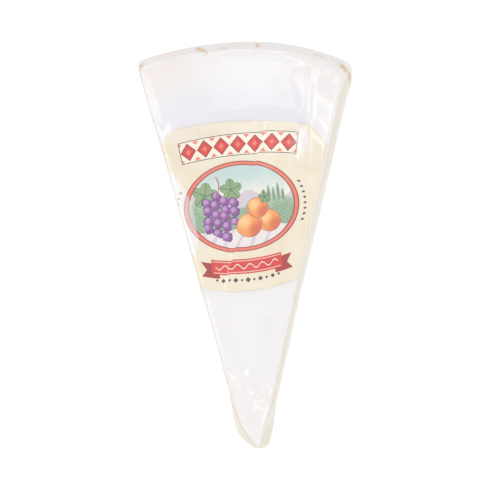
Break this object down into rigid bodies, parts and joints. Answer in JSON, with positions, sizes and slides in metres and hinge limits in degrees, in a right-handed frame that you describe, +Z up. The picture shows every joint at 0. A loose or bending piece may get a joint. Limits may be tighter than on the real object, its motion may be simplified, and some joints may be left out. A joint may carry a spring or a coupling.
{
  "type": "film-wrapped soft cheese wedge",
  "caption": "Narrow wedge cut from a wheel of soft white-rind cheese, wrapped tight in clear film, with a paper label cut flush on its top rind.",
  "frame": {"origin": "middle of the underside's bounding rectangle, on the surface that the wedge lies on", "axes": "+Y along the wedge from its thin end to the rim of the wheel, +Z up through the label, +X to the right of somebody looking from the thin end to the rim"},
  "size_m": [0.088, 0.168, 0.0308],
  "materials": {
    "clear_film": "thin clear glossy stretch film, pulled tight, over a white rind and ivory paste",
    "soft_cheese": "matt velvety white rind over smooth ivory paste",
    "label_paper": "thin uncoated cream paper with colour print, slightly damp and creased"
  },
  "bodies": {
    "root": {"film_wrapped_wedge": "clear_film", "paper_label": "label_paper"}
  },
  "joints": []
}
